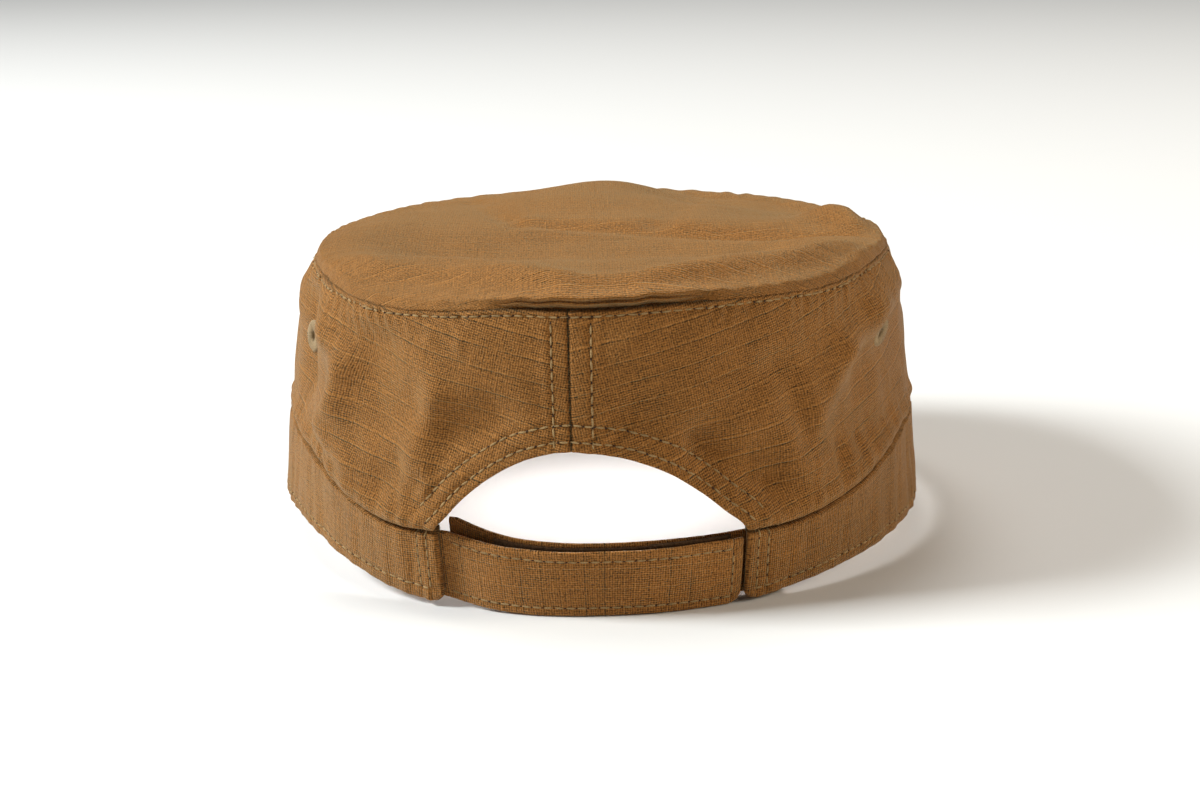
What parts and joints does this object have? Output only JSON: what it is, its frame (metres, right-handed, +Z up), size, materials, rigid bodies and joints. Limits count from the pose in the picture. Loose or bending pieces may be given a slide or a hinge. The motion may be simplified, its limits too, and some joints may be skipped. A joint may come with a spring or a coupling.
{
  "type": "patrol cap",
  "caption": "Soft round crown with a flat top, a band open at the back under an arch, adjusting straps, an arched visor and stitched eyelets.",
  "frame": {"origin": "centre of the bounding box, at its lowest height, which is the surface that the cap rests on", "axes": "+Y towards the back of the cap, +X towards the wearer's left, +Z up"},
  "size_m": [0.1692, 0.258, 0.0815],
  "materials": {
    "crown_cloth": "matte ripstop weave, coyote brown",
    "strap_cloth": "matte ripstop weave, coyote brown",
    "tape": "hook and loop fastener, dark brown",
    "thread": "matte sewing thread, grey-beige"
  },
  "bodies": {
    "root": {"top_panel": "crown_cloth", "side_panel_left": "crown_cloth", "side_panel_right": "crown_cloth", "front_panel": "crown_cloth", "band": "crown_cloth", "visor": "crown_cloth", "strap_outer": "strap_cloth", "strap_inner": "strap_cloth", "hook_tape": "tape", "loop_tape": "tape", "eyelet_left": "thread", "eyelet_right": "thread"}
  },
  "joints": []
}
